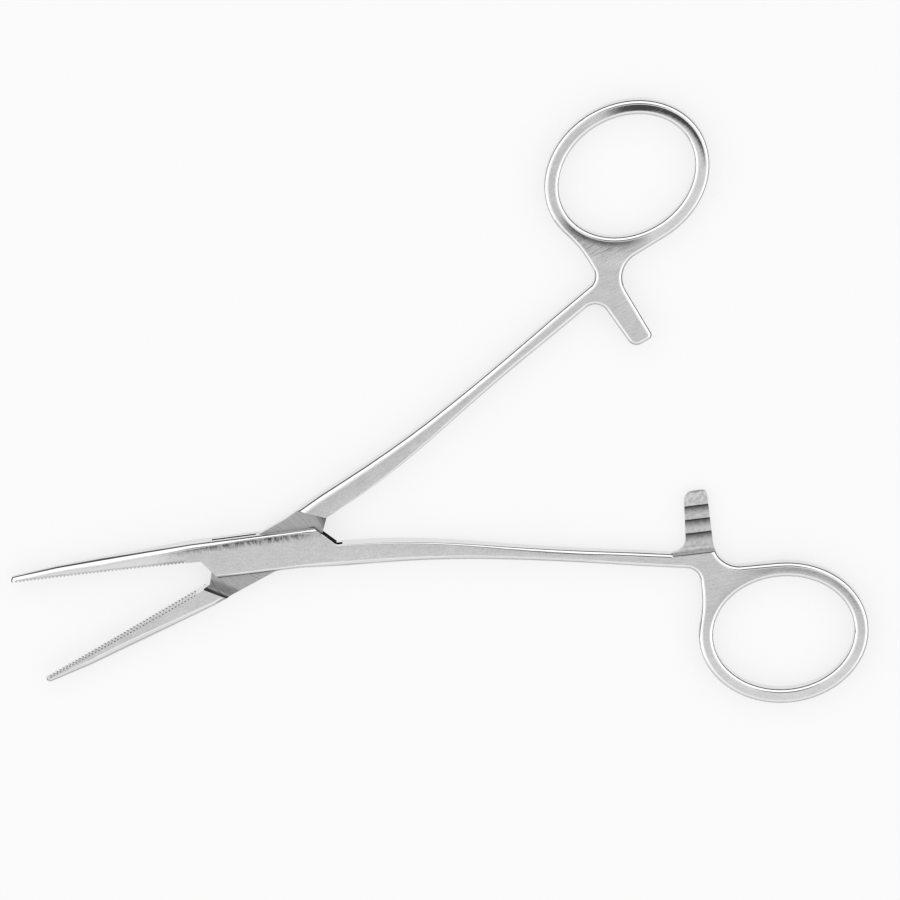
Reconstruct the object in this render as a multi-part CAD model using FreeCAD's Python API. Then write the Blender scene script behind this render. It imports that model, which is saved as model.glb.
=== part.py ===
import FreeCAD, Part
import math
import os

# A straight box-lock hemostat, 140 mm long when shut, in the half-open pose of the photograph.
# Millimetres. X runs from the joint to the finger rings along the box half's biting line,
# Y points to the male half's handle, Z is up, and the box lies on the plane z = 0.
# Both halves have one outline, drawn shut: u along X, v across, jaw at +v, handle at -v.

# Angle between the two biting lines in the modelled pose, in degrees
open_angle = 23.3

# Where the hand-finished halves differ a little: (box half, male half)
box_back = (3.25, 3.9)
jaw_root_width = (3.05, 3.3)
handle_set = (0.0, 0.2)
tooth_shift = (0.0, 0.5)

# Box: the thick flat part round the joint, where one half passes through the other
box_thick = 4.2
box_crown = 0.25
box_front = 3.2
mouth_shank_u = 11.6
mouth_shank_angle = 44.7
mouth_jaw_u = -10.9
mouth_jaw_angle = 52.0
mouth_undercut = 0.5

# Tenon of the male half, with its running gaps in the box
tenon_thick = 1.4
tenon_gap = 0.04
shoulder_shank_gap = 0.16
shoulder_jaw_gap = 0.95
recess_radius_shank = 0.6
recess_radius_jaw = 0.85
slot_shank_gap = 0.9
slot_jaw_gap = 0.15

# Joint pin, riveted in the cheeks and ground flush
pin_radius = 1.6
pin_gap = 0.03

# Jaws
jaw_length = 42.6
jaw_root_u = -12.0
jaw_tip_width = 0.95
jaw_swell = 0.7
jaw_tip_thick = 1.9
jaw_nose = 0.45
jaw_bevel_tip = 0.6
jaw_bevel_middle = 1.15
jaw_bevel_root = 0.75
jaw_gap = 0.08
jaw_bow = 0.1

# Serrations across the biting faces
tooth_pitch = 0.62
tooth_depth = 0.26
tooth_crest = 0.16
tooth_end_u = -13.6

# Shanks, which leave the box almost straight and then spread to the rings
shank_root_u = 13.0
shank_root_v = -2.0
shank_root_width = 3.6
shank_root_thick = 3.95
shank_root_angle = 2.0
shank_angle = 10.0
shank_bend_end_u = 36.0
shank_waist_u = 48.0
shank_waist_width = 2.0
shank_end_width = 2.25
shank_bevel_outer = 0.9
shank_bevel_inner = 0.15

# Every ground bevel is a broad facet at this slope, in degrees, whose lower edge is broken
# by a second facet, set back by this share of the bevel's width
bevel_slope = 26.0
bevel_break = 0.25

# Finger rings, and the webs that join them to the shanks
ring_u = 83.45
ring_drop = 15.475
ring_hole_long = 11.75
ring_hole_short = 9.65
ring_width = 2.35
ring_turn = -1.5
ring_thick = 3.0
ring_bevel = 0.65
ring_side_angle = 165.0
web_side_u = ring_u - 12.65
web_side_rise = 9.1
web_radius = 2.4
web_inner_radius = 4.4
shank_end_u = ring_u - 22.45

# Ratchet arms: half as thick as the rings, one below and one above the middle plane
arm_left_u = ring_u - 14.45
arm_width = 4.6
arm_reach = 1.2
arm_taper = 0.8
arm_tip_radius_left = 1.6
arm_tip_radius_right = 0.8
arm_root_radius = 2.3
ratchet_pitch = 2.3
ratchet_depth = 0.7
ratchet_first_v = -1.1
ratchet_count = 3
ratchet_gap = 0.06

# Where the cross-sections of nose, jaw and box stand, as shares of each one's length,
# and how many straight lengths follow the shank's curve
nose_stations = (0, 0.3, 1)
jaw_stations = (0.25, 0.5, 0.75, 1)
box_stations = (0.35, 0.7)
shank_steps = 11

# The middle plane, a length past everything, and a distance that counts as none
mid = box_thick / 2
far = 200.0
touch = 0.001


def vec(u, v, z=0.0):
    return FreeCAD.Vector(u, v, z)


def heading(degrees):
    angle = math.radians(degrees)
    return vec(math.cos(angle), math.sin(angle))


def blend(a, b, s):
    return a + (b - a) * s


def line(a, b):
    return Part.makeLine(a, b)


def arc(a, m, b):
    return Part.Arc(a, m, b).toShape()


def polygon(points):
    return [line(a, b) for a, b in zip(points, points[1:] + points[:1])]


def edge_at(shape, point):
    """The edge of a shape that passes nearest to a point."""
    spot = Part.Vertex(point)
    return min(shape.Edges, key=lambda e: e.distToShape(spot)[0])


def prism(edges, z0, z1):
    face = Part.Face(Part.Wire(edges))
    face.translate(vec(0, 0, z0))
    return face.extrude(vec(0, 0, z1 - z0))


def spline(points, start, end):
    curve = Part.BSplineCurve()
    curve.interpolate(Points=points, InitialTangent=start, FinalTangent=end)
    return curve.toShape()


def corner(a, p, b, radius):
    """Tangent arc that rounds the corner p between the lines from a and to b."""
    back = (a - p).normalize()
    on = (b - p).normalize()
    half = back.getAngle(on) / 2
    reach = radius / math.tan(half)
    middle = (back + on).normalize() * (radius / math.sin(half) - radius)
    return p + back * reach, p + middle, p + on * reach


def bar_section(centre, angle, up, down, thick, bevel_inner, bevel_outer):
    """Cross-section of a bar: flat faces and sides, with a ground bevel along each edge."""
    across = heading(angle + 90)
    half = thick / 2
    slope = math.radians(bevel_slope)
    knee = vec(math.cos(slope), math.sin(slope)) * bevel_break
    foot = math.tan(slope)

    def at(v, z):
        return centre + across * v + vec(0, 0, mid + z)

    def bevelled(edge, bevel, sign, side):
        return [at(edge - sign * bevel, side * half),
                at(edge - sign * bevel * knee.x, side * (half - bevel * (foot - knee.y))),
                at(edge, side * (half - bevel * (foot + bevel_break)))]

    points = bevelled(up, bevel_inner, 1, 1) + bevelled(up, bevel_inner, 1, -1)[::-1]
    points += bevelled(-down, bevel_outer, -1, -1) + bevelled(-down, bevel_outer, -1, 1)[::-1]
    return Part.Wire(polygon(points))


def set_out(point, side):
    """A point of the handle, turned about the joint by that half's own set."""
    turn = math.radians(-handle_set[side])
    return vec(point.x * math.cos(turn) - point.y * math.sin(turn),
               point.x * math.sin(turn) + point.y * math.cos(turn))


def shank_path(u):
    """Centre and heading of the shank: an arc as it leaves the box, then straight."""
    first = math.sin(math.radians(shank_root_angle))
    last = math.sin(math.radians(shank_angle))
    radius = (shank_bend_end_u - shank_root_u) / (last - first)
    turn = math.asin(min(first + (u - shank_root_u) / radius, last))
    v = shank_root_v - radius * (math.cos(math.radians(shank_root_angle)) - math.cos(turn))
    v -= max(u - shank_bend_end_u, 0) * math.tan(turn)
    return vec(u, v), -math.degrees(turn)


def shank_width(u):
    """Wide at the box, narrowest at the waist, a little wider again at the web."""
    if u < shank_waist_u:
        s = (u - shank_root_u) / (shank_waist_u - shank_root_u)
        return blend(shank_waist_width, shank_root_width, (1 + math.cos(math.pi * s)) / 2)
    s = (u - shank_waist_u) / (shank_end_u - shank_waist_u)
    return blend(shank_waist_width, shank_end_width, s * s)


def jaw_and_box(side):
    """Jaw and box as one tapered bar with a rounded nose, ground flat on both faces of the box."""
    back = box_back[side]
    wires = []
    for s in nose_stations:
        shrink = jaw_nose * (1 - math.sqrt(1 - (1 - s) ** 2))
        bevel = jaw_bevel_tip - shrink
        wires.append(bar_section(vec(jaw_nose * s - jaw_length, 0), 0, jaw_tip_width - shrink, box_front,
                                 jaw_tip_thick - 2 * shrink, bevel, bevel))
    for s in jaw_stations:
        width = blend(jaw_tip_width, jaw_root_width[side], s ** jaw_swell)
        bevel = blend(jaw_bevel_tip, jaw_bevel_middle, (2 * s) ** jaw_swell)
        if s > 0.5:
            bevel = blend(jaw_bevel_middle, jaw_bevel_root, 2 * s - 1)
        wires.append(bar_section(vec(blend(-jaw_length, jaw_root_u, s), 0), 0, width, box_front,
                                 blend(jaw_tip_thick, box_thick, s), bevel, jaw_bevel_tip))
    for s in box_stations:
        wires.append(bar_section(vec(blend(jaw_root_u, shank_root_u, s), 0), 0,
                                 blend(jaw_root_width[side], back, s), box_front,
                                 box_thick + box_crown, jaw_bevel_root, shank_bevel_outer))
    centre, angle = shank_path(shank_root_u)
    wires.append(bar_section(set_out(centre, side), angle - handle_set[side], back - shank_root_v,
                             shank_root_width / 2, shank_root_thick, jaw_bevel_root, shank_bevel_outer))
    bar = Part.makeLoft(wires, True, True)
    return bar.common(Part.makeBox(far, far, box_thick, vec(-far / 2, -far / 2, 0)))


def shank():
    """Shank as a bar that narrows, thins and loses its heavy rounding towards the ring."""
    wires = []
    for step in range(shank_steps + 1):
        s = step / shank_steps
        centre, angle = shank_path(blend(shank_root_u, shank_end_u, s))
        half = shank_width(centre.x) / 2
        wires.append(bar_section(centre, angle, half, half,
                                 blend(ring_thick, shank_root_thick, (1 - s) ** 2),
                                 blend(shank_bevel_inner, ring_bevel, s),
                                 blend(ring_bevel, shank_bevel_outer, (1 - s) ** 2)))
    return Part.makeLoft(wires, True, True)


def biting_void(side):
    """What lies beyond the biting face and the jaw-side mouth, with the serrations."""
    mouth = heading(-mouth_jaw_angle)
    edge = [vec(-far, -far), vec(-far, jaw_gap / 2)]

    def face_v(u):
        s = (u + jaw_length) / (jaw_length + mouth_jaw_u)
        return jaw_gap / 2 + jaw_bow * 4 * s * (1 - s)

    u = -jaw_length + tooth_pitch * (0.5 + tooth_shift[side])
    while u < tooth_end_u:
        v = face_v(u)
        edge.append(vec(u, v))
        edge.append(vec(u + (tooth_pitch - tooth_crest) / 2, v + tooth_depth))
        edge.append(vec(u + tooth_pitch - tooth_crest, v))
        u += tooth_pitch
    edge.append(vec(mouth_jaw_u, jaw_gap / 2))
    edge.append(vec(mouth_jaw_u, 0) + mouth * far)
    return prism(polygon(edge), -far, far)


def handle_void(side):
    """What lies beyond the shank-side mouth and above the shank's root."""
    mouth = heading(180 - mouth_shank_angle)
    centre, angle = shank_path(shank_root_u)
    inner = set_out(centre + heading(angle + 90) * (shank_root_width / 2), side)
    start = vec(mouth_shank_u, 0)
    low = start - mouth * ((start.y - inner.y) / mouth.y)
    edge = [start + mouth * far, low, inner, inner + vec(far, 0), vec(far, far)]
    return prism(polygon(edge), -far, far)


def shank_end():
    """The two corners of the shank where it meets the web, and its heading there."""
    centre, angle = shank_path(shank_end_u)
    across = heading(angle + 90) * (shank_end_width / 2)
    return centre + across, centre - across, heading(angle)


def arm_foot():
    """Where the ratchet arm's left side meets the shank's inner side."""
    inner, _, along = shank_end()
    return inner + along * ((arm_left_u - inner.x) / along.x)


def flat_edges(plate, level, skipped):
    """Edges that lie flat at a height above or below the middle plane, but for those at a spot."""
    found = []
    for edge in plate.Edges:
        spot = edge.CenterOfMass
        flat = edge.BoundBox.ZLength < touch and abs(abs(spot.z - mid) - level) < touch
        if flat and (vec(spot.x, spot.y) - skipped).Length > touch:
            found.append(edge)
    return found


def ring_plate():
    """Ring, web and ratchet arm in one flat outline that starts at the end of the shank."""
    inner, outer, along = shank_end()
    root_middle = (inner + outer) / 2
    ring_centre = vec(ring_u, root_middle.y - ring_drop)
    major = heading(ring_turn)
    minor = heading(ring_turn + 90)

    def ellipse(grow):
        return Part.Ellipse(ring_centre + major * (ring_hole_long + grow),
                            ring_centre + minor * (ring_hole_short + grow), ring_centre)

    outline = ellipse(ring_width)
    top_angle = math.radians(90)
    side_angle = math.radians(ring_side_angle)
    top = outline.value(top_angle)
    side = outline.value(side_angle)
    side_tangent = minor * math.cos(side_angle) * -1 + major * math.sin(side_angle)

    arm_right_u = arm_left_u + arm_width
    tip_left = vec(arm_left_u + arm_taper, arm_reach)
    tip_right = vec(arm_right_u, arm_reach)
    hollow = top - major * ((top.x - arm_right_u) / major.x)
    web_side = vec(web_side_u, ring_centre.y + web_side_rise)
    web_corner = outer + along * ((web_side_u - outer.x) / along.x)

    root = corner(inner, arm_foot(), tip_left, arm_root_radius)
    left_tip = corner(arm_foot(), tip_left, tip_right, arm_tip_radius_left)
    right_tip = corner(tip_left, tip_right, hollow, arm_tip_radius_right)
    neck = corner(tip_right, hollow, top, web_inner_radius)
    web = corner(web_side, web_corner, outer, web_radius)
    edges = [
        line(inner, root[0]), arc(*root),
        line(root[2], left_tip[0]), arc(*left_tip),
        line(left_tip[2], right_tip[0]), arc(*right_tip),
        line(right_tip[2], neck[0]), arc(*neck),
        line(neck[2], top), Part.Edge(outline, side_angle, top_angle + 2 * math.pi),
        spline([side, web_side], side_tangent, vec(0, 1)), line(web_side, web[0]),
        arc(*web), line(web[2], outer),
        line(outer, inner),
    ]
    z0 = mid - ring_thick / 2
    plate = prism(edges, z0, z0 + ring_thick).cut(prism([Part.Edge(ellipse(0))], z0, z0 + ring_thick))

    # A chamfer measures its first distance on the face that comes first, so the flat ones lead
    faces = sorted(plate.Faces, key=lambda face: face.BoundBox.ZLength)
    plate = Part.Solid(Part.Shell(faces))
    half = ring_thick / 2
    foot = ring_bevel * math.tan(math.radians(bevel_slope))
    plate = plate.makeChamfer(ring_bevel, foot, flat_edges(plate, half, root_middle))
    return plate.makeChamfer(ring_bevel * bevel_break, flat_edges(plate, half - foot, root_middle))


def ratchet_void():
    """The half of the thickness that is missing over an arm, down to its teeth."""
    crest = -ratchet_gap / 2
    root_v = arm_foot().y
    lead_in = ratchet_pitch + arm_reach - ratchet_first_v
    lead_in_drop = ratchet_depth * lead_in / ratchet_pitch
    profile = [vec(0, far, far), vec(0, ratchet_first_v + lead_in, crest - lead_in_drop)]
    v = ratchet_first_v
    for _ in range(ratchet_count):
        profile.append(vec(0, v, crest))
        profile.append(vec(0, v, crest - ratchet_depth))
        v -= ratchet_pitch
    profile.append(vec(0, v, crest))
    profile.append(vec(0, root_v, crest))
    profile.append(vec(0, root_v, far))
    face = Part.Face(Part.Wire(polygon(profile)))
    face.translate(vec(arm_left_u - arm_root_radius, 0, mid))
    return face.extrude(vec(arm_width + 2 * arm_root_radius, 0, 0))


def blank(side):
    """One half as forged, before the box is opened or the tenon is milled."""
    bar = jaw_and_box(side).cut(biting_void(side)).cut(handle_void(side))
    handle = shank().fuse(ring_plate())
    handle.rotate(vec(0, 0), vec(0, 0, 1), -handle_set[side])
    return bar.fuse(handle).removeSplitter()


def mouth_line(u, angle, gap):
    """A box end, from v = 0 up, moved out from the joint by a gap."""
    start = vec(u + math.copysign(gap, u) / math.sin(math.radians(angle)), 0)
    return start, heading(angle)


def box_half():
    half = blank(0)
    slot_half = tenon_thick / 2 + tenon_gap
    jaw_end, jaw_rise = mouth_line(mouth_jaw_u, mouth_jaw_angle, slot_jaw_gap)
    shank_end, shank_rise = mouth_line(mouth_shank_u, mouth_shank_angle, slot_shank_gap)
    reach = 3 * max(box_back)
    outline = [jaw_end, jaw_end + jaw_rise * reach, vec(shank_end.x, reach), shank_end,
               shank_end - shank_rise * reach, vec(jaw_end.x - box_front, -reach),
               vec(jaw_end.x - box_front, 0)]
    slot = prism(polygon(outline), mid - slot_half, mid + slot_half)

    along = heading(180 - mouth_shank_angle)
    out = heading(90 - mouth_shank_angle)
    lip = slot_half + mouth_undercut
    beyond = slot_shank_gap
    flare = [vec(mouth_shank_u, 0) + out * n + vec(0, 0, mid + z) for n, z in (
        (-mouth_undercut, slot_half), (0, lip), (beyond, lip),
        (beyond, -lip), (0, -lip), (-mouth_undercut, -slot_half))]
    undercut = Part.Face(Part.Wire(polygon(flare))).extrude(along * reach)
    bore = Part.makeCylinder(pin_radius, box_thick)
    return half.cut(slot).cut(undercut).cut(bore).cut(ratchet_void())


def male_half():
    half = blank(1)
    jaw_end, jaw_rise = mouth_line(mouth_jaw_u, mouth_jaw_angle, shoulder_jaw_gap)
    shank_end, shank_rise = mouth_line(mouth_shank_u, mouth_shank_angle, shoulder_shank_gap)
    reach = 3 * max(box_back)
    outline = [jaw_end - jaw_rise * reach, jaw_end + jaw_rise * reach,
               shank_end + shank_rise * reach, shank_end - shank_rise * reach]
    floor = mid + tenon_thick / 2
    recess = prism(polygon(outline), floor, floor + far)
    for foot, radius in ((jaw_end, recess_radius_jaw), (shank_end, recess_radius_shank)):
        recess = recess.makeFillet(radius, [edge_at(recess, foot + vec(0, 0, floor))])
    bore = Part.makeCylinder(pin_radius + pin_gap, box_thick)
    half = half.cut(recess).cut(recess.mirror(vec(0, 0, mid), vec(0, 0, 1))).cut(bore)
    teeth = ratchet_void().mirror(vec(0, 0, mid), vec(0, 0, 1))
    half = half.cut(teeth).mirror(vec(0, 0), vec(0, 1, 0))
    half.rotate(vec(0, 0), vec(0, 0, 1), open_angle)
    return half


def joint_pin():
    return Part.makeCylinder(pin_radius, box_thick)


os.makedirs("parts", exist_ok=True)
for name, make in (("box_half", box_half), ("male_half", male_half), ("joint_pin", joint_pin)):
    shape = make()
    print(name, shape.isValid(), round(shape.Volume, 2), len(shape.Solids), len(shape.Faces))
    shape.exportStep("parts/" + name + ".step")
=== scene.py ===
# %% [markdown]
# # A box-lock hemostat in stainless steel
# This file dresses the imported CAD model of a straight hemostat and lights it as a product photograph.
# The real tool is forged, milled, ground and polished from one steel, so nearly all of its look comes
# from how each surface was finished: satin where a belt ran over it, bright where it was polished.
# The CAD solids already have the true form. Here their meshes get soft edges and those finishes.

# %% Load the frame
import bpy
import bmesh
import math
from mathutils import Euler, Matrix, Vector


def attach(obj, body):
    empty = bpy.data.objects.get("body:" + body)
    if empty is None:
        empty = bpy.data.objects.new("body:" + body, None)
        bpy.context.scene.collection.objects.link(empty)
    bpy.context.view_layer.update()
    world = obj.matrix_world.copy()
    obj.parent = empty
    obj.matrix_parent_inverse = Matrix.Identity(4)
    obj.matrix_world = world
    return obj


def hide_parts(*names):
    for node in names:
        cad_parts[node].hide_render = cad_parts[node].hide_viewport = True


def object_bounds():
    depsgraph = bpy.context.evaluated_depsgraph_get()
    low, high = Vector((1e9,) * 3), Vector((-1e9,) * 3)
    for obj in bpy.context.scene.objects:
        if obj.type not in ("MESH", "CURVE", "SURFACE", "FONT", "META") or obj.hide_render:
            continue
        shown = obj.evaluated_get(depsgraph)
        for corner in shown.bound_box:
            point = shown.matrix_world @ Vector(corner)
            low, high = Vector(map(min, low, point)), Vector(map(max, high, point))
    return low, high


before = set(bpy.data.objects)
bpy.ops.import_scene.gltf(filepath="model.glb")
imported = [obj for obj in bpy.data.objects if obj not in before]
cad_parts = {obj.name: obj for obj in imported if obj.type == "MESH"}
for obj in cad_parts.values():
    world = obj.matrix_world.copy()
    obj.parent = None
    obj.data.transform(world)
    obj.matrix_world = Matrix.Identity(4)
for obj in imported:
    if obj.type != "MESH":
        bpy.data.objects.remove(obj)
cad_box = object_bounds()
mm = 0.001
print("CAD box", [[round(v / mm, 2) for v in corner] for corner in cad_box])

# %% [markdown]
# ## Two small helpers
# Colours are easiest to pick as sRGB hex values, but shaders count in linear light, so one function
# turns one into the other. The other function adds a shader node, sets it up and links it in a single
# call. Where it is handed a whole node, it links that node's first live output. With it a material
# reads from top to bottom, like a recipe.

# %% Helpers
def linear(hex_colour):
    """An sRGB hex colour as linear RGBA."""
    parts = [int(hex_colour[i:i + 2], 16) / 255 for i in (0, 2, 4)]
    return tuple(p / 12.92 if p <= 0.04045 else ((p + 0.055) / 1.055) ** 2.4 for p in parts) + (1.0,)


def add(tree, kind, inputs=(), **settings):
    """A new node with its settings. Its inputs, in order or by name, are values, sockets or nodes."""
    made = tree.nodes.new("ShaderNode" + kind)
    for key, value in settings.items():
        setattr(made, key, value)
    for key, value in inputs.items() if isinstance(inputs, dict) else enumerate(inputs):
        if isinstance(value, bpy.types.Node):
            value = next(output for output in value.outputs if output.enabled)
        if isinstance(value, bpy.types.NodeSocket):
            tree.links.new(value, made.inputs[key])
        else:
            made.inputs[key].default_value = value
    return made


print("white is", linear("FFFFFF"))

# %% [markdown]
# ## Where each half lies
# Both halves have one outline, drawn shut. The box half lies as drawn. The male half is its mirror
# image, swung open about the joint. Every pattern below is laid out in a half's own drawing, in
# millimetres: x runs from the joint to the rings and y across, with the jaw at +y, and z is counted
# from the middle plane. So each mark sits where it belongs on both halves, and turns with them.

# %% Each half's own drawing
halves = ("box_half", "male_half")
open_turn = math.radians(23.3)
swing = {"box_half": 0.0, "male_half": -open_turn}
flip = {"box_half": 1.0, "male_half": -1.0}
middle = (cad_box[0][2] + cad_box[1][2]) / 2


def new_material(name):
    material = bpy.data.materials.new(name)
    material.use_nodes = True
    material.node_tree.nodes.clear()
    return material, material.node_tree


def new_steel(name, half):
    """A material for one half, its nodes, and shader coordinates in the half's own drawing."""
    material, tree = new_material(name + "_" + half)
    turned = add(tree, "Mapping", {"Vector": add(tree, "TexCoord").outputs["Object"],
                 "Rotation": (0, 0, swing[half])})
    place = add(tree, "Mapping", {"Vector": turned, "Scale": (1 / mm, flip[half] / mm, 1 / mm),
                "Location": (0, 0, -middle / mm)})
    return material, tree, place


print("middle plane at", round(middle / mm, 2), "mm, opened", round(math.degrees(open_turn), 1), "degrees")

# %% [markdown]
# ## Bare steel in patches
# The same steel looks lighter or darker by how it was worked, and seldom evenly over a whole face. So
# every finish below is a shade between a light and a dark steel, made of patches. A patch is a product
# of soft steps, one for each of its edges, and fades out towards all of them as real wear does.

# %% Patches and bare steel
def patch(tree, *edges):
    """The product of soft steps: each is (value, low, high) and, where given, the level at both."""
    product = None
    for value, low, high, *levels in edges:
        at_low, at_high = levels or (0.0, 1.0)
        step = add(tree, "MapRange", {"Value": value, "From Min": low, "From Max": high,
                   "To Min": at_low, "To Max": at_high}, interpolation_type="SMOOTHSTEP")
        product = step if product is None else add(tree, "Math", [product, step], operation="MULTIPLY")
    return product


def lay_steel(tree, shade, light, dark, roughness, marks=None, strength=0.0, depth=0.0):
    """Steel from its light to its dark colour by the shade, with marks of a depth in millimetres."""
    colour = add(tree, "Mix", {"Factor": shade, "A": linear(light), "B": linear(dark)}, data_type="RGBA")
    surface = {"Base Color": colour, "Metallic": 1.0, "Roughness": roughness}
    if marks is not None:
        surface["Normal"] = add(tree, "Bump", {"Height": marks, "Strength": strength,
                                               "Distance": depth * mm})
    shader = add(tree, "BsdfPrincipled", surface)
    add(tree, "OutputMaterial", {"Surface": shader})


print("made patch and lay_steel, which every finish below uses")

# %% [markdown]
# ## Satin steel, ground on a belt
# The broad faces were run over an abrasive belt, so they are covered in fine straight scratches, which
# blur a reflection into an even light grey. Long thin noise makes them, along each half. A real
# scratch is finer than the picture can show, so these are drawn about one pixel wide. The halves were
# ground one at a time, so each reads the noise turned by another angle and gets marks of its own.

# %% Belt marks
scratch_size = (2.2, 0.09)
grain_size = (0.3, 0.3)
mottle_size = (3.0, 3.0)
mark_roughness = 0.6
own_marks = {"box_half": math.radians(-55), "male_half": math.radians(-5)}


def belt_marks(tree, place, size, own=0.0, detail=4.0):
    """Marks of a length and width in millimetres."""
    length, width = size
    drawn = add(tree, "Mapping", {"Vector": place, "Rotation": (0, 0, own),
                "Scale": (1 / length, 1 / width, 1 / length)})
    return add(tree, "TexNoise", {"Vector": drawn, "Scale": 1.0, "Detail": detail,
               "Roughness": mark_roughness})


print("scratches are drawn", scratch_size[1], "mm wide")

# %% [markdown]
# ## Painted light and shade at the rings
# The satin is painted darker, as reflected shade, on the web beside a ring's opening and on the far
# side of a ring, streaked by the scratches. Another side of a ring is painted a little lighter. Each
# patch lies in a direction from the ring's centre, in degrees, and has a strength. Its reach is 1 at
# the opening's rim and about 1.2 at the ring's outer rim. Its spread is the cosine of the angle from
# its own direction.

# %% Patches at the rings
ring_centre = (83.45, -24.3)
ring_hole = (11.75, 9.65)
web_painted_shade = {"box_half": (125.0, 0.1), "male_half": (140.0, 0.7)}
ring_painted_shade = {"box_half": (60.0, 0.3), "male_half": (-28.0, 0.95)}
ring_painted_light = {"box_half": (-97.0, 0.12), "male_half": (75.0, 0.12)}
web_reach = (1.5, 1.1)
rim_reach = (1.2, 1.07)
web_spread = (0.7, 0.95)
web_streaks = (0.4, 0.6, 0.2, 0.7)
ring_inside = (1.05, 1.13)
ring_outside = (1.6, 1.4)
ring_spread = (0.5, 0.88)
ring_streaks = (0.3, 0.55, 0.75, 1.0)
light_reach = (1.5, 1.35)
light_spread = (-0.1, 0.7)


def ring_painted_light_and_shade(tree, place, scratches, half):
    """How much painted shade and painted light the satin gets beside the ring's opening."""
    moved = add(tree, "Mapping", {"Vector": place, "Location": (-ring_centre[0], -ring_centre[1], 0)})
    about = add(tree, "Mapping", {"Vector": moved, "Scale": (1 / ring_hole[0], 1 / ring_hole[1], 0)})
    reach = add(tree, "VectorMath", [about], operation="LENGTH")
    facing = add(tree, "VectorMath", [about], operation="NORMALIZE")

    def side(spread, degrees, strength):
        way = (math.cos(math.radians(degrees)), math.sin(math.radians(degrees)), 0)
        towards = add(tree, "VectorMath", [facing, way], operation="DOT_PRODUCT")
        return (towards, *spread, 0.0, strength)

    # Painted shade on the web and on the ring's far side, streaked by the scratches.
    web = patch(tree, (reach, *web_reach), (scratches, *web_streaks))
    web = add(tree, "Math", [web, patch(tree, (reach, *rim_reach))], operation="MAXIMUM")
    web = add(tree, "Math", [web, patch(tree, side(web_spread, *web_painted_shade[half]))], operation="MULTIPLY")
    ring = patch(tree, (reach, *ring_inside), (reach, *ring_outside),
                 side(ring_spread, *ring_painted_shade[half]), (scratches, *ring_streaks))
    darker = add(tree, "Math", [web, ring], operation="MAXIMUM")
    # Painted light on another side of the ring.
    painted_light = patch(tree, (reach, *light_reach), side(light_spread, *ring_painted_light[half]))
    return darker, painted_light


print("ring openings measure", [2 * radius for radius in ring_hole], "mm")

# %% [markdown]
# ## The band beside the box's edge
# On the box half a ragged dark band runs beside the polished edge of the box. Its rim is combed by
# the marks themselves. A darker strip lies along the jaw's teeth. The male half has neither.

# %% The band on the box
band_dark = {"box_half": 0.75, "male_half": 0.0}
strip_dark = {"box_half": 0.35, "male_half": 0.0}
comb_size = (0.45, 0.9)
comb_reach = 1.2
comb_streaks = (0.35, 0.6, 0.55, 1.0)
band_rim = (1.9, 3.3)
band_start = (-26, -8)
band_end = (11, 4)
strip_width = (0.7, 0.4)
strip_end = (-13, -14)


def box_band(tree, place, half):
    """How much darker the satin is in the band and in the strip along the teeth."""
    drawn = add(tree, "SeparateXYZ", [place])
    combed = belt_marks(tree, place, comb_size)
    raggedness = add(tree, "Math", [combed, comb_reach], operation="MULTIPLY")
    ragged = add(tree, "Math", [drawn.outputs["Y"], raggedness], operation="ADD")
    band = patch(tree, (ragged, *band_rim), (drawn.outputs["X"], *band_start),
                 (drawn.outputs["X"], *band_end, 0.0, band_dark[half]), (combed, *comb_streaks))
    strip = patch(tree, (drawn.outputs["Y"], *strip_width),
                  (drawn.outputs["X"], *strip_end, 0.0, strip_dark[half]))
    return add(tree, "Math", [band, strip], operation="MAXIMUM")


print("the band fades out between", band_start[0], "and", band_end[0], "mm from the joint")

# %% [markdown]
# ## All of the satin together
# Grain, mottle and scratches each swing the shade a little about one even tone. The painted light is
# taken off it and the dark patches are put on top. Light is painted on the box half's jaw as well.

# %% Satin steel
even_tone = 0.17
noise_swing = (0.3, 0.7)
grain_shade = (-0.07, 0.07)
mottle_shade = (-0.03, 0.03)
scratch_shade = (0.0, 0.14)
jaw_painted_light = {"box_half": 0.3, "male_half": 0.0}
jaw_fade = (-13, -22)


def satin_steel(half):
    material, tree, place = new_steel("satin_stainless_steel_belt_ground", half)
    scratches = belt_marks(tree, place, scratch_size, own=own_marks[half])
    grain = belt_marks(tree, place, grain_size)
    mottle = belt_marks(tree, place, mottle_size, detail=2.0)
    darker, painted_light = ring_painted_light_and_shade(tree, place, scratches, half)
    darker = add(tree, "Math", [darker, box_band(tree, place, half)], operation="MAXIMUM")
    along = add(tree, "SeparateXYZ", [place]).outputs["X"]
    # Painted light on the box half's jaw.
    jaw = patch(tree, (along, *jaw_fade, 0.0, jaw_painted_light[half]))
    painted_light = add(tree, "Math", [painted_light, jaw], operation="ADD")

    tone = patch(tree, (grain, *noise_swing, *grain_shade))
    for marks, shade in ((mottle, mottle_shade), (scratches, scratch_shade)):
        tone = add(tree, "Math", [tone, patch(tree, (marks, *noise_swing, *shade))], operation="ADD")
    tone = add(tree, "Math", [tone, even_tone], operation="ADD")
    tone = add(tree, "Math", [tone, painted_light], operation="SUBTRACT")
    shade = add(tree, "Math", [tone, darker], operation="ADD")
    lay_steel(tree, shade, "F0F0F0", "4E4E4E", roughness=0.36, marks=scratches, strength=0.2, depth=0.01)
    return material


satin = {half: satin_steel(half) for half in halves}
print([m.name for m in satin.values()])

# %% [markdown]
# ## Polished steel
# Edges, bevels and sides were polished on a felt wheel. They reflect the room almost as a mirror
# does, so they flash white beside a thin dark line. A faint waviness keeps them from looking
# computer-made: hand polishing never leaves a truly even curve. Where the box's edge stands over the
# sunken floor of the other half, a dark line of shade is painted on the edge.

# %% Polished steel
waves_per_mm = 0.6
wave_shade = 0.06
corner_painted_shade = {"box_half": 0.85, "male_half": 0.0}
corner_start = (-9.5, -8.5)
corner_end = (2.5, 0.5)
corner_side = (-1, -2)
corner_height = (1.95, 1.85)


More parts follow.
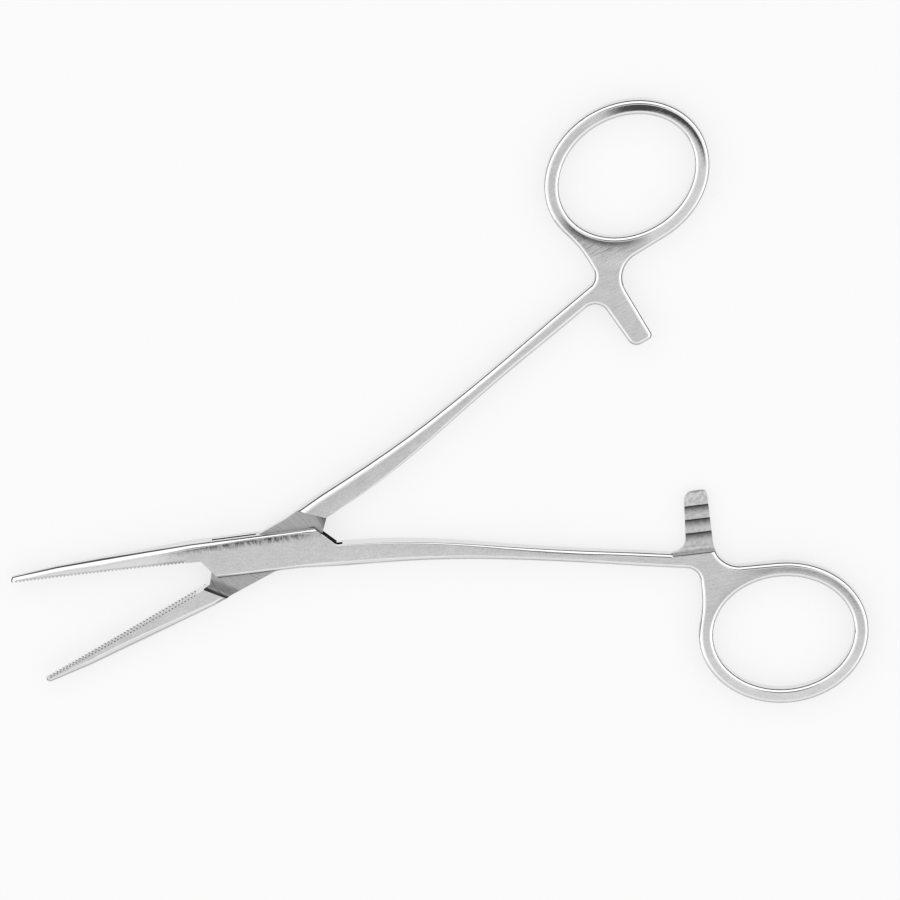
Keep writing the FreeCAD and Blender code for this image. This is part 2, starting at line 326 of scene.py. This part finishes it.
def polished_steel(half):
    material, tree, place = new_steel("polished_stainless_steel", half)
    waves = add(tree, "TexNoise", {"Vector": place, "Scale": waves_per_mm, "Detail": 2.0})
    drawn = add(tree, "SeparateXYZ", [place])
    height = add(tree, "Math", [drawn.outputs["Z"]], operation="ABSOLUTE")
    # A painted line of shade along the box's wall over the sunken floor.
    corner = patch(tree, (drawn.outputs["X"], *corner_start), (drawn.outputs["X"], *corner_end),
                   (drawn.outputs["Y"], *corner_side, 0.0, corner_painted_shade[half]), (height, *corner_height))
    wavy = add(tree, "Math", [waves, wave_shade], operation="MULTIPLY")
    shade = add(tree, "Math", [corner, wavy], operation="ADD")
    lay_steel(tree, shade, "FAFAFA", "2C2C2C", roughness=0.1, marks=waves, strength=0.3, depth=0.04)
    return material


polished = {half: polished_steel(half) for half in halves}
print([m.name for m in polished.values()])

# %% [markdown]
# ## Milled recesses
# The floors on which the box slides were milled and lapped by swinging one half in the other, so
# their marks are arcs about the joint. Nobody polishes them, so they are a little darker than the faces
# outside, and part of this even darkening stands in for the recess's shade. Shade is painted at their
# ends and on the ramp, where the corners lie in shadow.

# %% Milled steel
mark_pitch = 0.3
arc_swing = (0.35, 0.65)
arc_shade = (0.05, 0.22)
stains_per_mm = 0.7
floor_tone = 0.12
floor_end = (9.6, 11.2)
floor_end_painted_shade = 0.6
shank_side = (0, 2)
ramp_angle = math.radians(142)
ramp_start = (7.2, 8.1)
ramp_painted_shade = 0.42


def milled_steel(half):
    material, tree, place = new_steel("milled_and_lapped_stainless_steel", half)
    flat = add(tree, "Mapping", {"Vector": place, "Scale": (1, 1, 0)})
    reach = add(tree, "VectorMath", [flat], operation="LENGTH")
    stains = add(tree, "TexNoise", {"Vector": flat, "Scale": stains_per_mm, "Detail": 4.0})
    arcs = add(tree, "TexNoise", {"W": reach, "Scale": 1 / mark_pitch, "Detail": 4.0},
               noise_dimensions="1D")
    marks = patch(tree, (arcs, *arc_swing), (stains, *noise_swing, *arc_shade))
    ramp_way = (math.cos(ramp_angle), math.sin(ramp_angle), 0)
    to_ramp = add(tree, "VectorMath", [flat, ramp_way], operation="DOT_PRODUCT")
    along = add(tree, "SeparateXYZ", [place]).outputs["X"]
    # Painted shade at the floor's far end and on the ramp, in the concave corners.
    painted_shade_and_tone = add(tree, "Math", [patch(tree, (reach, *floor_end, 0.0, floor_end_painted_shade), (along, *shank_side)),
                patch(tree, (to_ramp, *ramp_start, 0.0, ramp_painted_shade))], operation="MAXIMUM")
    painted_shade_and_tone = add(tree, "Math", [painted_shade_and_tone, floor_tone], operation="ADD")
    shade = add(tree, "Math", [marks, painted_shade_and_tone], operation="ADD")
    lay_steel(tree, shade, "C8C8C8", "4A4A4A", roughness=0.42, marks=arcs, strength=0.3, depth=0.01)
    return material


milled = {half: milled_steel(half) for half in halves}
print([m.name for m in milled.values()])

# %% [markdown]
# ## Steel inside the slot
# No brush or wheel reaches into the box's slot. Its steel is painted nearly black, as shade of the deep
# slot with some scale of hardening, and draws the dark line round the mouth of the box.

# %% Dark steel
spots_per_mm = 1.5


def slot_steel(half):
    material, tree, place = new_steel("hardened_stainless_steel_with_scale", half)
    spots = add(tree, "TexNoise", {"Vector": place, "Scale": spots_per_mm, "Detail": 3.0})
    # Nearly black: painted shade of the slot, with some scale.
    lay_steel(tree, spots, "3A3A3A", "1E1E1E", roughness=0.55)
    return material


scale_and_painted_shade = {half: slot_steel(half) for half in halves}
print([m.name for m in scale_and_painted_shade.values()])

# %% [markdown]
# ## Ratchet teeth
# Each tooth is filed: a steep stop, then a long slope up to the next crest. Shade is painted under
# each stop, where the valley lies in shadow, so a tooth runs from dark at its foot to bright at its
# crest. The material repeats this shade once for each tooth, along the drawing's y. A line of painted
# shade marks the step down to the filed face, and the flat that is left beside the first tooth gets a
# shade of its own.

# %% Filed steel
ratchet_first = -1.1
ratchet_pitch = 2.3
ratchet_teeth = 3
tooth_rim = 0.05
filings_per_mm = 1.6
foot_wobble = (-0.12, 0.12)
foot_shade_fade = (0.75, 0.0, 0.0, 0.85)
worn_swing = (0.4, 0.65, 0.0, 0.2)
worn_start = (0.0, 0.1, 1.5, 1.0)
face_shade = (0.0, 0.1, -0.05, 0.08)
step_painted_shade = (0.6, 0.8, 0.0, 0.9)


def filed_steel(half):
    material, tree, place = new_steel("filed_stainless_steel_ratchet", half)
    drawn = add(tree, "SeparateXYZ", [place])
    filings = add(tree, "TexNoise", {"Vector": place, "Scale": filings_per_mm, "Detail": 4.0})
    below = add(tree, "Math", [ratchet_first, drawn.outputs["Y"]], operation="SUBTRACT")
    count = add(tree, "Math", [below, ratchet_pitch], operation="DIVIDE")
    share = add(tree, "Math", [count], operation="FRACT")
    wobble = patch(tree, (filings, *noise_swing, *foot_wobble))
    share = add(tree, "Math", [share, wobble], operation="ADD")
    last = ratchet_teeth * ratchet_pitch
    # Painted shade at the foot of each tooth, where the valley lies in shadow.
    painted_foot_shade = patch(tree, (share, *foot_shade_fade), (below, -tooth_rim, 0.0), (below, last, last - tooth_rim))
    worn = patch(tree, (below, *worn_start), (filings, *worn_swing))
    height = add(tree, "Math", [drawn.outputs["Z"]], operation="ABSOLUTE")
    # A painted dark line of shade along the upper part of the step wall.
    sides = add(tree, "Math", [patch(tree, (height, *step_painted_shade)), patch(tree, (below, *face_shade))],
                operation="ADD")
    teeth = add(tree, "Math", [painted_foot_shade, worn], operation="ADD")
    shade = add(tree, "Math", [teeth, sides], operation="ADD")
    lay_steel(tree, shade, "F6F6F6", "484848", roughness=0.3)
    return material


filed = {half: filed_steel(half) for half in halves}
print([m.name for m in filed.values()])

# %% [markdown]
# ## Serrated jaws
# The biting faces are cut with a file or broach into fine crosswise teeth. The gullets between them
# are bright, but shade is painted into them just under the jaw's top and bottom faces. Seen from above
# they draw a row of dark dashes along the jaw. The jaw gets thicker from its tip to its root, so the
# level of its faces does too.

# %% Serrated steel
gullet_depth = 0.25
gullet_fade = (0.5 * gullet_depth, 0.9 * gullet_depth)
gullet_shade_depth = (1.0, 0.6)
jaw_ends = (-42.6, -12.0)
jaw_levels = (0.95, 2.1)


def serrated_steel(half):
    material, tree, place = new_steel("serrated_stainless_steel", half)
    drawn = add(tree, "SeparateXYZ", [place])
    face_level = add(tree, "MapRange", {"Value": drawn.outputs["X"],
                     "From Min": jaw_ends[0], "From Max": jaw_ends[1],
                     "To Min": jaw_levels[0], "To Max": jaw_levels[1]})
    height = add(tree, "Math", [drawn.outputs["Z"]], operation="ABSOLUTE")
    below = add(tree, "Math", [face_level, height], operation="SUBTRACT")
    # Painted shade in the gullets just under the jaw's top and bottom faces.
    painted_gullet_shade = patch(tree, (below, *gullet_shade_depth), (drawn.outputs["Y"], *gullet_fade))
    lay_steel(tree, painted_gullet_shade, "F6F6F6", "2C2C2C", roughness=0.25)
    return material


serrated = {half: serrated_steel(half) for half in halves}
print([m.name for m in serrated.values()])

# %% [markdown]
# ## Which finish goes where
# Each face takes its finish from where it is and which way it looks. Level faces are satin and all
# others are polished, apart from those that no wheel reaches: the biting faces, the inside of the
# box's slot, the milled floors, ramps and mouths of the male half, and the filed faces of the arms.
# The eased lower lip of the slot is polished. The wall under the box's edge takes the slot's dark steel,
# as painted shade.
# Places are in millimetres in the half's own drawing. A face's look is its unit normal there, so a
# look of 1 along z is level and one of 0 is upright.

# %% Finishes in and beside the box
slot_reach = 16.0
slot_height = 1.26
lip_side = 1.0
lip_front = 0.2
lip_sideways = 0.4
lip_lean = (0.05, 0.98)
dark_wall_ends = (-10.0, 4.0)
dark_wall_side = -1.0
dark_wall_look = 0.45
floor_height = 1.0
floor_look = 0.2
ramp_end = 13.5
ramp_look = 0.6
nearly_level = 0.99
mouth_look = 0.97
mouth_side = 6.0
mouth_angles = [math.radians(45.3), math.radians(142.0)]
mouth_normals = [Vector((math.cos(angle), math.sin(angle), 0)) for angle in mouth_angles]


def drawing_way(way, half):
    """A direction of the model in a half's own drawing."""
    turned = Vector(way)
    turned.rotate(Euler((0, 0, swing[half])))
    return Vector((turned.x, turned.y * flip[half], turned.z))


def drawing_point(point, half):
    """A point of the model in a half's own drawing, in millimetres."""
    turned = drawing_way(point, half)
    return Vector((turned.x, turned.y, turned.z - middle)) / mm


def finish_of_slot(spot, look):
    """The box half's slot is dark, apart from its eased lower lip, which looks up and outwards."""
    low = spot.y > lip_side and spot.z < 0
    eased = look.y > lip_front and abs(look.x) < lip_sideways and lip_lean[0] < look.z < lip_lean[1]
    return "polished" if low and eased else "scale_and_painted_shade"


def is_dark_wall(spot, look):
    """The wall of the box half that stands over the male half's sunken floor, which gets painted shade."""
    under_edge = dark_wall_ends[0] < spot.x < dark_wall_ends[1] and spot.y < dark_wall_side
    return under_edge and abs(look.z) < dark_wall_look


def is_milled(spot, look):
    """The male half's floors, the ramps up to its shoulders, and the walls that shut the box's mouths."""
    inward = -look.xy.dot(spot.xy) / max(look.xy.length * spot.xy.length, mm)
    floor = abs(spot.z) < floor_height
    ramp = abs(look.z) < nearly_level and inward > ramp_look and spot.xy.length < ramp_end
    mouth = any(abs(look.dot(normal)) > mouth_look for normal in mouth_normals)
    return (abs(look.z) > floor_look and (floor or ramp)) or (mouth and abs(spot.y) < mouth_side)


print("the slot's finish ends at", slot_height, "mm from the middle plane")

# %% Finishes of the whole tool
finishes = {"satin": satin, "polished": polished, "milled": milled, "scale_and_painted_shade": scale_and_painted_shade,
            "filed": filed, "serrated": serrated}
flat_look = 0.985
tooth_start = -13.2
tooth_side = 0.5
tooth_look = 0.5
arm_left = 69.0
arm_reach = 9.2
arm_root = -8.9
root_reach = 0.5
filed_height = 1.0
filed_look = 0.9
root_wall_reach = 0.2
root_wall_look = 0.3


def is_toothed(spot):
    return spot.x < tooth_start and abs(spot.y) < tooth_side


def is_filed(spot, look, height):
    """The face with the ratchet teeth, and the wall at its root."""
    if abs(spot.x - arm_left) >= arm_reach or spot.y <= arm_root - root_reach:
        return False
    face = height < filed_height and abs(look.z) > filed_look
    return face or (abs(spot.y - arm_root) < root_wall_reach and abs(look.z) < root_wall_look)


def finish_of(face, half):
    """The name of a face's finish."""
    spot = drawing_point(face.calc_center_median(), half)
    look = drawing_way(face.normal, half)
    height = max(abs(drawing_point(corner.co, half).z) for corner in face.verts)
    if is_toothed(spot) and abs(look.z) < tooth_look:
        return "serrated"
    if math.hypot(spot.x, spot.y) < slot_reach:
        if half == "box_half" and height < slot_height:
            return finish_of_slot(spot, look)
        if half == "box_half" and is_dark_wall(spot, look):
            return "scale_and_painted_shade"
        if half == "male_half" and is_milled(spot, look):
            return "milled"
    if is_filed(spot, look, height):
        return "filed"
    return "satin" if abs(look.z) > flat_look else "polished"


print("finishes:", ", ".join(finishes))

# %% [markdown]
# ## The two halves
# A CAD mesh is loose triangles, so each half starts from a merged copy of them. Flat stretches are
# dissolved back into single faces. Long sharp edges get a narrow bevel, since no real edge is truly
# sharp and it is the rounding that catches the light. Creases sharper than the limit stay crisp. All
# softer ones, such as the two facets of a ground bevel, are shaded as one round. Weighted normals keep
# the broad faces flat meanwhile.
# The lower lip of the slot is eased more than other edges. Short edges lie beside it, so its bevel
# isn't clamped: a clamped one would shrink to nothing.

# %% Edges to soften
crease = math.radians(50)
edge_width = 0.1
shortest_edge = 1.2
lip_width = 0.22
lip_level = -0.74
lip_margin = 0.03
lip_from = 3.0


def is_bevelled(edge, half):
    if not edge.is_manifold or edge.calc_length() < shortest_edge * mm:
        return False
    spot = drawing_point((edge.verts[0].co + edge.verts[1].co) / 2, half)
    return edge.calc_face_angle(0) > crease and not is_toothed(spot)


def is_lip(edge, half):
    ends = [drawing_point(v.co, half) for v in edge.verts]
    return half == "box_half" and all(abs(e.z - lip_level) < lip_margin and e.y > lip_from for e in ends)


def soften(form, edges, width, clamp=True):
    bmesh.ops.bevel(form, geom=edges, offset=width * mm, offset_type="OFFSET", affect="EDGES",
                    segments=2, profile=0.5, material=-1, clamp_overlap=clamp)


print("edges get", edge_width, "mm and the slot's lip", lip_width, "mm")

# %% Build the halves
merge_distance = 0.001
dissolve_angle = math.radians(0.1)


def dress(half):
    form = bmesh.new()
    form.from_mesh(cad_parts[half].data)
    bmesh.ops.remove_doubles(form, verts=form.verts, dist=merge_distance * mm)
    bmesh.ops.dissolve_limit(form, angle_limit=dissolve_angle, verts=form.verts, edges=form.edges)
    lips = [edge for edge in form.edges if is_bevelled(edge, half) and is_lip(edge, half)]
    soften(form, lips, lip_width, clamp=False)
    sharp = [edge for edge in form.edges if is_bevelled(edge, half)]
    soften(form, sharp, edge_width)
    for edge in form.edges:
        edge.smooth = edge.calc_face_angle(math.pi) < crease
    for face in form.faces:
        face.smooth = True
        face.material_index = list(finishes).index(finish_of(face, half))
    mesh = bpy.data.meshes.new(half + "_steel")
    form.to_mesh(mesh)
    form.free()
    for finish in finishes.values():
        mesh.materials.append(finish[half])
    piece = bpy.data.objects.new(half + "_steel", mesh)
    bpy.context.scene.collection.objects.link(piece)
    normals = piece.modifiers.new("flat faces stay flat", "WEIGHTED_NORMAL")
    normals.keep_sharp = True
    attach(piece, half)
    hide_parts(half)
    print(half, "has", len(mesh.polygons), "faces,", len(sharp), "soft edges and", len(lips), "slot lips")


for half in halves:
    dress(half)

# %% [markdown]
# ## The joint pin
# The pin was riveted in the box half and then ground away with it, so on a good hemostat it can't be
# found. The CAD node keeps its shape and simply takes the satin of the faces round it.

# %% The pin
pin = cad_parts["joint_pin"]
pin.data.materials.clear()
pin.data.materials.append(satin["box_half"])

# %% [markdown]
# ## The camera
# The photograph looks almost straight down with a long lens. It leans a little towards the far side,
# so the walls that face the top of the picture can be seen. The lens and distance are the ones at
# which the model's outline falls on the photograph's.

# %% The camera
image_width = 900
camera_distance = 1342 * mm
pixel_size = 0.16525 * mm
camera_lean = math.radians(12.8)
picture_turn = math.radians(-7.144)
joint_in_picture = Vector((-30.425, -17.167, 0)) * mm

camera = bpy.data.objects.new("camera", bpy.data.cameras.new("camera"))
bpy.context.scene.collection.objects.link(camera)
camera.data.sensor_width = 36.0
camera.data.lens = camera.data.sensor_width * camera_distance / (pixel_size * image_width)
camera.data.clip_end = 20.0
aim = -joint_in_picture
away = Vector((0, math.sin(camera_lean), math.cos(camera_lean))) * camera_distance
camera.location = aim + away
camera.rotation_euler = Euler((-camera_lean, 0, 0))
camera.location.rotate(Euler((0, 0, picture_turn)))
camera.location.z += middle
camera.rotation_euler.rotate(Euler((0, 0, picture_turn)))
bpy.context.scene.camera = camera
print("lens", round(camera.data.lens, 1), "mm")

# %% [markdown]
# ## The floor
# The tool lies on a plain white sheet. Part of what the camera sees of the sheet is its own even glow,
# which only thins the shadow: the tool's soft shadow is still there, as under a large studio lamp.
# To the polished steel the sheet is bright when looked at straight down. Looked at along it, towards
# the top of the picture, it is dark, as a real sheet is whose far part lies in the shade.

# %% The floor
floor_size = 3.0
floor_middle = (0.03, 0.01)
floor_gap = 0.02 * mm
own_glow = 0.72
picture_up = Vector((-math.sin(picture_turn), math.cos(picture_turn), 0))
shade_lean = math.radians(32)
shade_start = (0.36, 0.52, 0.8, 0.08)

bpy.ops.mesh.primitive_plane_add(size=floor_size, location=(*floor_middle, cad_box[0][2] - floor_gap))
floor = bpy.context.object
floor.name = "white_paper_floor"
paper, tree = new_material("matt_white_paper")
path = add(tree, "LightPath").outputs
seen = add(tree, "Math", [path["Is Camera Ray"], path["Is Transmission Ray"]], operation="ADD")
leaning = picture_up * math.sin(shade_lean) + Vector((0, 0, math.cos(shade_lean)))
leaning = add(tree, "CombineXYZ", {"X": leaning.x, "Y": leaning.y, "Z": leaning.z})
slant = add(tree, "LayerWeight", {"Blend": 0.5, "Normal": leaning}).outputs["Facing"]
mirrored = add(tree, "Math", [path["Is Glossy Ray"], patch(tree, (slant, *shade_start))],
               operation="MULTIPLY")
strength = add(tree, "Math", [seen, mirrored], operation="ADD")
shown = add(tree, "Math", [seen, own_glow], operation="MULTIPLY")
share = add(tree, "Math", [shown, path["Is Glossy Ray"]], operation="ADD")
diffuse = add(tree, "BsdfDiffuse", {"Color": linear("F8F8F8")})
glow = add(tree, "Emission", {"Color": linear("FFFFFF"), "Strength": strength})
mixed = add(tree, "MixShader", [share, diffuse, glow])
add(tree, "OutputMaterial", {"Surface": mixed})
floor.data.materials.append(paper)
print("floor at", round(floor.location.z / mm, 2), "mm")

# %% [markdown]
# ## The light
# Steel shows its surroundings more than itself, so the room is the real material here. It is a white
# light tent. Its top is duller, which the flat faces show as light grey. Its walls are bright, for the
# white stripes on the bevels. Between them and the table is a dark gap, which draws the thin dark
# lines. The near wall is a plain grey cloth, so bevels that face the bottom of the picture stay soft.
# The dark round of the lens is seen where a bevel looks straight into it, as a hair line beside the
# flat.

# %% The room
far_wall = [(0, 0.74), (22, 0.78), (34, 1.2), (68, 1.2), (76, 0.06), (95, 0.06)]
near_wall = [(0, 0.74), (22, 0.74), (45, 0.76), (70, 0.74), (78, 0.4), (95, 0.4)]
wall_join = (-0.7, -0.35)
lens_rim = (math.cos(math.radians(12)), math.cos(math.radians(8)))
lens_level = 0.15
world = bpy.data.worlds.new("light_tent")
bpy.context.scene.world = world
world.use_nodes = True
tree = world.node_tree
tree.nodes.clear()
sight = add(tree, "TexCoord").outputs["Generated"]
upward = add(tree, "SeparateXYZ", [sight]).outputs["Z"]
from_top = add(tree, "Math", [upward], operation="ARCCOSINE")
from_top = add(tree, "Math", [from_top, math.pi], operation="DIVIDE")


def wall(stops):
    """The tent's brightness from the top down, as (degrees, level) stops."""
    tent = add(tree, "ValToRGB", [from_top])
    ramp = tent.color_ramp
    ramp.interpolation = "EASE"
    while len(ramp.elements) < len(stops):
        ramp.elements.new(0.5)
    for element, (angle, level) in zip(ramp.elements, stops):
        element.position = angle / 180
        element.color = (level, level, level, 1)
    return tent


to_far = add(tree, "VectorMath", [sight, tuple(picture_up)], operation="DOT_PRODUCT")
tent = add(tree, "Mix", {"Factor": patch(tree, (to_far, *wall_join)), "A": wall(near_wall),
           "B": wall(far_wall)}, data_type="RGBA")
lens_way = (camera.location - Vector((0, 0, middle)) - aim).normalized()
to_lens = add(tree, "VectorMath", [sight, tuple(lens_way)], operation="DOT_PRODUCT")
level = patch(tree, (to_lens, *lens_rim, 1.0, lens_level))
sky = add(tree, "Background", {"Color": tent, "Strength": level})
add(tree, "OutputWorld", {"Surface": sky})
print("the lens stands", round(math.degrees(math.acos(lens_way.z)), 1), "degrees from straight above")

# %% [markdown]
# ## The view
# The render shows its colours with the standard view transform.

# %% Finish
bpy.context.scene.view_settings.view_transform = "Standard"
